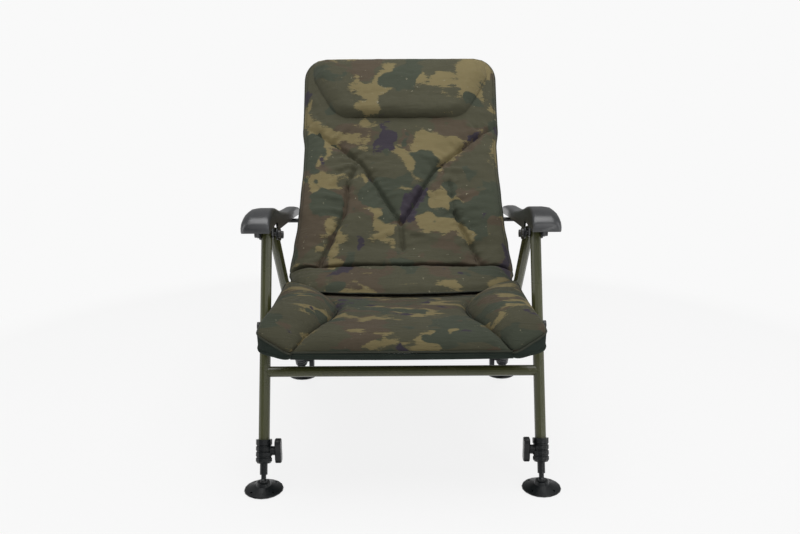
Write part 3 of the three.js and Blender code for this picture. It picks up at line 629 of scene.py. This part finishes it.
def seamField(x, along, c=mattress):
    # distance to the nearest sewn seam, the run along it and its depth
    best, run, deep = 9.0, 0.0, 0.0
    for x0, z0, x1, z1, share in c["seams"]:
        away, k = segmentAway(x, along, x0, z0, x1, z1)
        if away < best:
            best, run, deep = away, k * math.hypot(x1 - x0, z1 - z0) + z0, share
    return best, run, deep


def pullRise(x, along, c=mattress):
    # each pull is highest beside the seam and gone at the far end, with a hollow below it
    rise = 0.0
    for x0, z0, x1, z1, height, wide in c["pulls"]:
        away, k = segmentAway(x, along, x0, z0, x1, z1)
        if away < 4 * wide:
            ridge = math.exp(-((away / wide) ** 2)) - 0.45 * math.exp(-((away / wide - 1.9) ** 2) * 2)
            rise += height * ridge * (1 - k) ** 0.8 * min(1, k / 0.12 + 0.3)
    return rise


def mattressRise(x, along, c=mattress):
    # share of the full depth at a place, and the small shapes on it in metres
    full = edgeRise(mattressHalfWidth(along) - abs(x), c["sideSwell"])
    full = full * edgeRise(c["top"] - along, c["topSwell"]) * edgeRise(along - c["tailEnd"], c["tailSwell"])
    away, run, deep = seamField(x, along)
    crown = 1 - c["seamDip"] * deep * math.exp(-away / c["dipReach"])
    groove = c["seamDepth"] * deep * math.exp(-((away / c["seamWidth"]) ** 2))
    sway = noise.noise(Vector((x * 14, along * 14, 2.2)))
    wave = math.sin(run * 2 * math.pi / c["puckerPitch"] + 6 * sway)
    bare = 1 - math.exp(-((away / c["puckerBare"]) ** 2))
    pucker = c["pucker"] * deep * wave * math.exp(-away / c["puckerReach"]) * bare
    height, *waves = c["folds"]
    folds = height * ripple(x, along, *waves) * (c["foldsAway"] + math.exp(-away / c["foldReach"]))
    height, *waves = c["broadFolds"]
    folds += height * ripple(x, along, *waves) + c["pullShare"] * pullRise(x, along)
    return full, crown, (pucker + folds - groove) * full


def mattressRim(along, c=mattress):
    # the seam round the edge sits higher across the top
    return c["rimShare"] + c["topGain"] * max(0, 1 - (c["top"] - along) / c["topReach"])


def tailBow(s, along, c=mattress):
    return c["bow"] * min(1, max(0, -(along + c["bowStart"]) / c["bowReach"])) * (abs(2 * s - 1) ** 2)


def mattressFace(s, t):
    faceY, faceZ, underY, underZ, along = curveThrough(backStations, t)
    x = (2 * s - 1) * mattressHalfWidth(along)
    full, crown, detail = mattressRise(x, along)
    rim = mattressRim(along)
    share = rim + (1 - rim) * full * crown
    out = Vector((0, faceY - underY, faceZ - underZ))
    place = Vector((x, underY, underZ)) + out * share + out.normalized() * detail
    return place + Vector((0, tailBow(s, along), 0))


def mattressUnder(s, t, c=mattress):
    faceY, faceZ, underY, underZ, along = curveThrough(backStations, t)
    x = (2 * s - 1) * mattressHalfWidth(along)
    side = mattressHalfWidth(along) - abs(x)
    flat = edgeRise(side, *c["underSideSwell"]) * edgeRise(c["top"] - along, *c["underTopSwell"])
    low = Vector((x, underY + tailBow(s, along), underZ))
    return low + Vector((0, faceY - underY, faceZ - underZ)) * (mattressRim(along) * (1 - flat))


def mattressDepth(x, along, c=mattress):
    # height of the face over the back's own plane, above the tail
    full, crown, detail = mattressRise(x, along)
    rim = mattressRim(along)
    return c["lift"] + c["depth"] * (rim + (1 - rim) * full * crown) + detail


def bendAtHinge(piece):
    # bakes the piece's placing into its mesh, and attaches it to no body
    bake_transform(piece)


# a dark stitched line at the bottom of each channel: real thread, and painted shade that deepens the groove
def channelThreadAndGrooveShade(x0, z0, x1, z1, c=mattress):
    count = max(6, int(math.hypot(x1 - x0, z1 - z0) / c["threadStep"]))
    route = []
    for k in range(count + 1):
        x, along = x0 + (x1 - x0) * k / count, z0 + (z1 - z0) * k / count
        if along > c["threadLow"] and abs(x) < c["threadHalf"]:
            route.append(backPlace @ Vector((x, -mattressDepth(x, along), along)))
    return stitchRow(route, *c["thread"])


def makeMattress(c=mattress):
    tailShare = len(c["tail"]) / (len(backStations) - 1)

    def spread(t):
        # rows are closest together over the tail
        bend = c["tailRows"]
        return t / bend * tailShare if t < bend else tailShare + (t - bend) / (1 - bend) * (1 - tailShare)

    grid = pillowGrid(c["columns"], c["rows"], lambda s, t: mattressFace(s, spread(t)),
                      lambda s, t: mattressUnder(s, spread(t)))
    piece = addPiece("backMattress", *grid, None, "camo_fabric", finishes["camo_fabric"])
    bendAtHinge(piece)
    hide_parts("back_pad")
    threads = joinMeshes(channelThreadAndGrooveShade(*seam[:4]) for seam in c["seams"])
    addPiece("channelStitchAndGrooveShade", *threads, "back", "camo_fabric", threadAndGrooveShade)
    steps = [k / 150 for k in range(151)]
    edge = [mattressFace(0, spread(t)) for t in steps] + [mattressFace(k / 50, 1) for k in range(1, 50)]
    edge += [mattressFace(1, spread(t)) for t in reversed(steps)]
    edge += [mattressFace(1 - k / 50, 0) for k in range(1, 50)]
    tube = ringTube(edge, c["weltRadius"], closed=True)
    welt = addPiece("mattressWelt", *tube, None, "camo_fabric", seamTape)
    bendAtHinge(welt)
    for letter, s in (("l", c["stitchInset"]), ("r", 1 - c["stitchInset"])):
        inset = [mattressFace(s, spread(c["stitchStart"] + c["stitchRun"] * k / 120)) for k in range(121)]
        lifted = [p + Vector((0, -0.0004, 0.0003)) for p in inset]
        row = addPiece("mattressStitch_" + letter, *stitchRow(lifted), None, "camo_fabric", seamTape)
        bendAtHinge(row)


makeMattress()

headPillow = {
    "low": 0.388, "high": 0.5925, "footHalf": 0.150, "headHalf": 0.2285, "depth": 0.025,
    "columns": 120, "rows": 66, "widening": (0.66, 0.72),
    # rounded corners: how far they draw in, and the share of the length that they take
    "footCorner": (0.022, 0.16), "headCorner": (0.026, 0.14),
    # width and power of the swell along the sides, the foot and the head
    "sideSwell": (0.050, 0.6), "footSwell": (0.026, 0.5), "headSwell": (0.090, 0.8),
    "sunk": 0.0035, "backSunk": 0.0060,
    "folds": (0.0014, 9, 22, 4.1), "broadFolds": (0.0011, 30, 12, 2.9), "pull": (0.0010, 0.024, 0.016),
}


def makeHeadPillow(c=headPillow):
    length = c["high"] - c["low"]

    def halfWidth(t):
        reach, power = c["widening"]
        inset, share = c["footCorner"]
        foot = cornerInset(inset, (share - t) / share)
        inset, share = c["headCorner"]
        head = cornerInset(inset, (t - (1 - share)) / share)
        return c["footHalf"] + (c["headHalf"] - c["footHalf"]) * min(1, t / reach) ** power - foot - head

    def spot(s, t):
        return (2 * s - 1) * halfWidth(t), c["low"] + t * length

    def face(s, t):
        x, along = spot(s, t)
        full = edgeRise(halfWidth(t) - abs(x), *c["sideSwell"]) * edgeRise(t * length, *c["footSwell"])
        full = full * edgeRise((1 - t) * length, *c["headSwell"])
        height, pitch, reach = c["pull"]
        sway = noise.noise(Vector((x * 7, 3.1, 0)))
        pull = math.sin(x * 2 * math.pi / pitch + 5 * sway) * math.exp(-t * length / reach)
        low, *waves = c["folds"]
        broad, *broadWaves = c["broadFolds"]
        folds = low * ripple(x, along, *waves) + broad * ripple(x, along, *broadWaves) + height * pull
        rise = -c["sunk"] + (c["depth"] + c["sunk"]) * full + folds * full
        return backPlace @ Vector((x, -mattressDepth(x, along) - rise, along))

    def under(s, t):
        x, along = spot(s, t)
        return backPlace @ Vector((x, -mattressDepth(x, along) + c["backSunk"], along))

    grid = pillowGrid(c["columns"], c["rows"], face, under)
    piece = addPiece("headPillow", *grid, "back", "camo_fabric", finishes["camo_fabric"])
    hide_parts("head_pillow")


makeHeadPillow()
print("back is dressed")


# seat pad between the bolsters, with a front edge that rolls over the front bar
seatPad = {
    "halfWidth": 0.203, "columns": 110, "rows": 110,
    # the pad dips to a seam along each bolster and along its sides, and keeps this share of its depth there
    "valleyReach": 0.030, "sideReach": 0.02, "seamShare": 0.26,
    # the sitter's hollow: depth, span across, where it starts and how soon it is full
    "sag": 0.004, "sagSpan": 0.42, "sagStart": -0.43, "sagFade": 0.08,
    "folds": (0.0022, 7, 26, 5.5), "broadFolds": (0.0014, 26, 14, 3.2),
    "endFade": 0.1,  # share of the length over which folds and hollow fade out at either end
    "edgeShare": 0.02,  # share of the length that keeps its whole depth at the front edge
    "weltRadius": 0.0020, "weltOut": 0.0012,
    # top y and z, underside y and z, from the front edge back to the mattress's tail
    "profile": [
        (-0.4385, 0.3005, -0.4385, 0.2985), (-0.4375, 0.3120, -0.4345, 0.2965),
        (-0.4320, 0.3220, -0.4290, 0.2985), (-0.4210, 0.3310, -0.4215, 0.3045),
        (-0.4010, 0.3380, -0.4060, 0.3138), (-0.3650, 0.3430, -0.3700, 0.3150),
        (-0.3050, 0.3445, -0.3050, 0.3150), (-0.2450, 0.3420, -0.2450, 0.3150),
        (-0.1950, 0.3350, -0.1950, 0.3150), (-0.1550, 0.3225, -0.1550, 0.3150),
        (-0.1120, 0.3166, -0.1120, 0.3150),
    ],
}
bolster = {
    # seam line: x, y and height, from the front inner corner round the outside
    "corners": [
        (0.2025, -0.4395, 0.2980), (0.2360, -0.4360, 0.3135), (0.2665, -0.4170, 0.3296),
        (0.2615, -0.3550, 0.3365), (0.2560, -0.2900, 0.3405), (0.2510, -0.2150, 0.3460),
        (0.2430, -0.1500, 0.3540), (0.1990, -0.1650, 0.3480), (0.1580, -0.2150, 0.3380),
        (0.1340, -0.2620, 0.3320), (0.1310, -0.2920, 0.3290), (0.1400, -0.3320, 0.3260),
        (0.1720, -0.4000, 0.3130),
    ],
    "base": 0.3150, "crown": 0.3690, "rings": 30,
    # power of the swell, how soon it is full, and how near to the middle its last ring goes
    "fullness": 0.60, "crownReach": 1.35, "crownEnd": 0.985,
    # how far the underside's two rings draw in, and how far the second one stays over the base
    "underInsets": (0.30, 0.08), "underLift": 0.004,
    "folds": (0.0026, 14, 30, 8.1), "fineFolds": (0.0012, 50, 28, 5.1),
    "weltRadius": 0.0019, "stitchInset": 0.075, "stitchLift": 0.085,
}
bolsterLines = {name: loopThrough([(way * x, y, z) for x, y, z in bolster["corners"]], 14)
                for name, way in sides.items()}


def insideLine(x, y, line):
    inside = False
    for a, b in zip(line, line[1:] + line[:1]):
        if (a.y > y) != (b.y > y) and x < (b.x - a.x) * (y - a.y) / (b.y - a.y) + a.x:
            inside = not inside
    return inside


def makeSeatPad(c=seatPad):
    trees = {}
    for name, line in bolsterLines.items():
        trees[name] = kdtree.KDTree(len(line))
        for k, p in enumerate(line):
            trees[name].insert((p.x, p.y, 0), k)
        trees[name].balance()

    def valley(x, y):
        # 0 at a bolster's seam and under the bolster, 1 clear of it
        name = "left" if x < 0 else "right"
        if insideLine(x, y, bolsterLines[name]):
            return 0.0
        return edgeRise(trees[name].find((x, y, 0))[2], c["valleyReach"], 0.7)

    def both(s, t):
        topY, topZ, underY, underZ = curveThrough(c["profile"], t)
        x = (2 * s - 1) * c["halfWidth"]
        return x, Vector((x, topY, topZ)), Vector((x, underY, underZ))

    def face(s, t):
        x, top, under = both(s, t)
        full = min(edgeRise(c["halfWidth"] - abs(x), c["sideReach"]), valley(x, top.y))
        keep = c["seamShare"] + (1 - c["seamShare"]) * full if t > c["edgeShare"] else 1
        hollow = min(1, max(0, (top.y - c["sagStart"]) / c["sagFade"]))
        sag = c["sag"] * math.cos(math.pi * x / c["sagSpan"]) * hollow
        low, *waves = c["folds"]
        broad, *broadWaves = c["broadFolds"]
        folds = low * ripple(x, top.y, *waves) + broad * ripple(x, top.y, *broadWaves)
        rise = (folds - sag) * full * min(1, t / c["endFade"]) * min(1, (1 - t) / c["endFade"])
        return under.lerp(top, keep) + Vector((0, 0, rise))

    def below(s, t):
        return both(s, t)[2]

    grid = pillowGrid(c["columns"], c["rows"], face, below)
    piece = addPiece("seatPad", *grid, "seat", "camo_fabric", seatCamo)
    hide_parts("seat_pad")
    edge = [face(k / 60, 0) - Vector((0, c["weltOut"], 0)) for k in range(61)]
    addPiece("seatEdgeWelt", *ringTube(edge, c["weltRadius"]), "seat", "camo_fabric", seamTape)


def makeBolster(name, way, c=bolster):
    line = bolsterLines[name]
    middle = sum(line, Vector()) / len(line)
    count = len(line)
    points, faces = [], []

    def addRing(inward, rise):
        for p in line:
            flat = Vector((p.x, p.y, 0)).lerp(Vector((middle.x, middle.y, 0)), inward)
            points.append(Vector((flat.x, flat.y, rise(p, flat))))

    def crownRise(full):
        low, across, along, seed = c["folds"]
        fine, fineAcross, fineAlong, fineSeed = c["fineFolds"]
        return lambda p, q: (p.z + (c["crown"] - p.z) * full
                             + low * ripple(q.x * way, q.y, across, along, seed + way) * full
                             + fine * ripple(q.x * way, q.y, fineAcross, fineAlong, fineSeed + way) * full)

    first, second = c["underInsets"]
    addRing(first, lambda p, q: c["base"])
    addRing(second, lambda p, q: 0.5 * (min(p.z, c["base"] + c["underLift"]) + c["base"]))
    addRing(0.0, lambda p, q: p.z)
    for k in range(1, c["rings"] + 1):
        inward = k / (c["rings"] + 1)
        full = math.sin(math.pi / 2 * min(1, inward * c["crownReach"])) ** c["fullness"]
        addRing(inward * c["crownEnd"], crownRise(full))
    rings = len(points) // count
    for n in range(rings - 1):
        for k in range(count):
            a, b = n * count + k, n * count + (k + 1) % count
            faces.append((a, b, b + count, a + count))
    faces += [tuple(range(count))[::-1], tuple((rings - 1) * count + k for k in range(count))]
    if way < 0:
        faces = [face[::-1] for face in faces]
    piece = addPiece("bolster_" + name, points, faces, "seat", "camo_fabric", seatCamo)
    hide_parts("seat_bolster_" + name)
    welt = ringTube(line, c["weltRadius"], closed=True)
    addPiece("bolsterWelt_" + name, *welt, "seat", "camo_fabric", seamTape)
    row = [p.lerp(Vector((middle.x, middle.y, p.z + c["stitchLift"])), c["stitchInset"]) for p in line]
    addPiece("bolsterStitch_" + name, *stitchRow(row + row[:1]), "seat", "camo_fabric", seamTape)


makeSeatPad()
for name, way in sides.items():
    makeBolster(name, way)
print("seat is dressed")


# dark cloth under the pads: seat sling, side flaps, front hem and the back's panel
cloth = {
    "thickness": 0.0011,
    "ease": 1.02,  # length of the cut cloth over the length that it spans
    "wrapStep": 12,  # degrees round a tube from one point to the next
}


def tubeWrap(halfSpan, radius, turns, c=cloth):
    # across between two tubes and round the outside of each, as x and height
    angles = [math.radians(c["wrapStep"] * k) for k in range(turns + 1)]
    arc = [(halfSpan + radius * math.sin(angle), radius * math.cos(angle)) for angle in angles]
    flat = [(halfSpan * v / 12, radius) for v in range(-11, 12)]
    return [(-x, z) for x, z in reversed(arc)] + flat + arc


def clothGrid(section, rows, place):
    points = [place(x, z, j / rows) for j in range(rows + 1) for x, z in section]
    wide = len(section)
    faces = [(j * wide + i, j * wide + i + 1, (j + 1) * wide + i + 1, (j + 1) * wide + i)
             for j in range(rows) for i in range(wide - 1)]
    return points, faces


def declareCloth(piece, across, length, thickness=cloth["thickness"]):
    thick = piece.modifiers.new("cloth", "SOLIDIFY")
    thick.thickness = thickness
    thick.offset = 0


def sectionLength(section):
    return sum(math.dist(a, b) for a, b in zip(section, section[1:]))


def betweenTubes(x, z, halfSpan):
    # 0 over the tubes and round them, 1 midway between them
    return max(0, 1 - (x / halfSpan) ** 2) if z > 0 else 0


seatSling = {
    "railX": 0.212, "railZ": 0.303, "radius": 0.0110, "turns": 17, "frontY": -0.402, "rearY": 0.0,
    "steps": 40, "sag": 0.012, "folds": (0.0012, 30, 9, 6.4),
}


def makeSling(c=seatSling):
    section = tubeWrap(c["railX"], c["radius"], c["turns"])
    height, *waves = c["folds"]

    def place(x, z, t):
        inner = betweenTubes(x, z, c["railX"])
        sag = c["sag"] * inner * math.sin(math.pi * t) ** 1.5
        crease = height * ripple(x, t, *waves) * inner
        return Vector((x, c["frontY"] + t * (c["rearY"] - c["frontY"]), c["railZ"] + z - sag + crease))

    piece = addPiece("seatSling", *clothGrid(section, c["steps"], place), "seat", "camo_fabric", darkCloth)
    declareCloth(piece, sectionLength(section) * cloth["ease"], (c["rearY"] - c["frontY"]) * cloth["ease"])


flap = {
    "drop": 0.0300, "leastDrop": 0.0040, "tipX": 0.2025, "tipReach": 0.060,
    "rearDrop": 0.0060, "rearY": -0.40, "fadeY": -0.405, "fade": 0.075,
    "cut": 0.100,                        # width of the cut cloth
    "rail": (0.2228, -0.420, 0.3000),    # where the flap is sewn to the rail, and how far forward it goes
    "points": 74, "hemPoints": 44, "rows": 4, "turns": 5, "band": (0.0034, 0.0022),
}


def flapEdge(p, c=flap):
    # lower edge under a seam point: deepest below the tip
    front = min(1, max(0, (abs(p.x) - c["tipX"]) / c["tipReach"]))
    rear = max(0, 1 - max(0, p.y - c["fadeY"]) / c["fade"])
    drop = c["leastDrop"] + (c["drop"] - c["leastDrop"]) * front**0.8 * rear
    drop = max(drop, c["rearDrop"] * (p.y > c["rearY"]))
    return Vector((p.x * 0.998, p.y + 0.003 * front, p.z - drop))


def makeFlap(name, way, c=flap):
    line = bolsterLines[name][:c["points"]]
    wide = c["rows"] + c["turns"] + 1
    points = []
    railX, railFront, railZ = c["rail"]
    for p in line:
        low = flapEdge(p)
        rail = Vector((way * railX, max(p.y, railFront), railZ))
        points += [p.lerp(low, k / c["rows"]) for k in range(c["rows"] + 1)]
        points += [low.lerp(rail, k / c["turns"]) for k in range(1, c["turns"] + 1)]
    faces = [(a, a + 1, a + wide + 1, a + wide)
             for j in range(len(line) - 1) for a in range(j * wide, (j + 1) * wide - 1)]
    piece = addPiece("sideFlap_" + name, points, faces, "seat", "camo_fabric", hemCloth)
    length = sum((b - a).length for a, b in zip(line, line[1:]))
    declareCloth(piece, c["cut"], length)
    hem = ringTube([flapEdge(p) for p in line[:c["hemPoints"]]], c["band"])
    addPiece("flapHem_" + name, *hem, "seat", "camo_fabric", hemCloth)


frontHem = {
    "half": 0.2040, "y": -0.4392, "z": 0.2932, "dip": 0.0018, "band": (0.0066, 0.0026), "steps": 40,
    "stitchLift": 0.0030,
}


def makeFrontHem(c=frontHem):
    middle = []
    for k in range(c["steps"] + 1):
        share = k / c["steps"]
        low = c["z"] - c["dip"] * math.sin(math.pi * share)
        middle.append(Vector((c["half"] * (1 - 2 * share), c["y"], low)))
    addPiece("frontHem", *ringTube(middle, c["band"], count=12), "seat", "camo_fabric", hemCloth)
    stitches = stitchRow([p + Vector((0, -c["band"][1], c["stitchLift"])) for p in middle])
    addPiece("frontHemStitch", *stitches, "seat", "camo_fabric", seamTape)


backPanel = {
    "tubeX": 0.222, "radius": 0.0110, "turns": 15, "low": 0.150, "high": 0.568, "steps": 40,
    "sag": 0.004, "folds": (0.0014, 26, 10, 9.4),
    # straps round the panel: places along the back, width, thickness, and height over the panel
    "straps": (0.235, 0.345, 0.455), "strapWidth": 0.025, "strapThickness": 0.0014, "strapLift": 0.0022,
    "strapTurns": 9,
}


def makeBackPanel(c=backPanel):
    section = tubeWrap(c["tubeX"], c["radius"], c["turns"])
    height, *waves = c["folds"]

    def place(x, z, t):
        inner = betweenTubes(x, z, c["tubeX"])
        crease = height * ripple(x, t, *waves) * inner
        return backPlace @ Vector((x, z - c["sag"] * inner * math.sin(math.pi * t) + crease,
                                   c["low"] + t * (c["high"] - c["low"])))

    piece = addPiece("backPanel", *clothGrid(section, c["steps"], place), "back", "camo_fabric", darkCloth)
    declareCloth(piece, sectionLength(section) * cloth["ease"], (c["high"] - c["low"]) * cloth["ease"])
    strap, wide = tubeWrap(c["tubeX"], c["radius"] + c["strapLift"], c["strapTurns"]), c["strapWidth"]
    for k, along in enumerate(c["straps"]):
        grid = clothGrid(strap, 4, lambda x, z, t: backPlace @ Vector((x, z, along + wide * (t - 0.5))))
        band = addPiece(f"backStrap_{k}", *grid, "back", "camo_fabric", webbing)
        declareCloth(band, sectionLength(strap), wide, c["strapThickness"])


makeSling()
for name, way in sides.items():
    makeFlap(name, way)
makeFrontHem()
makeBackPanel()
print("cloth is fitted")
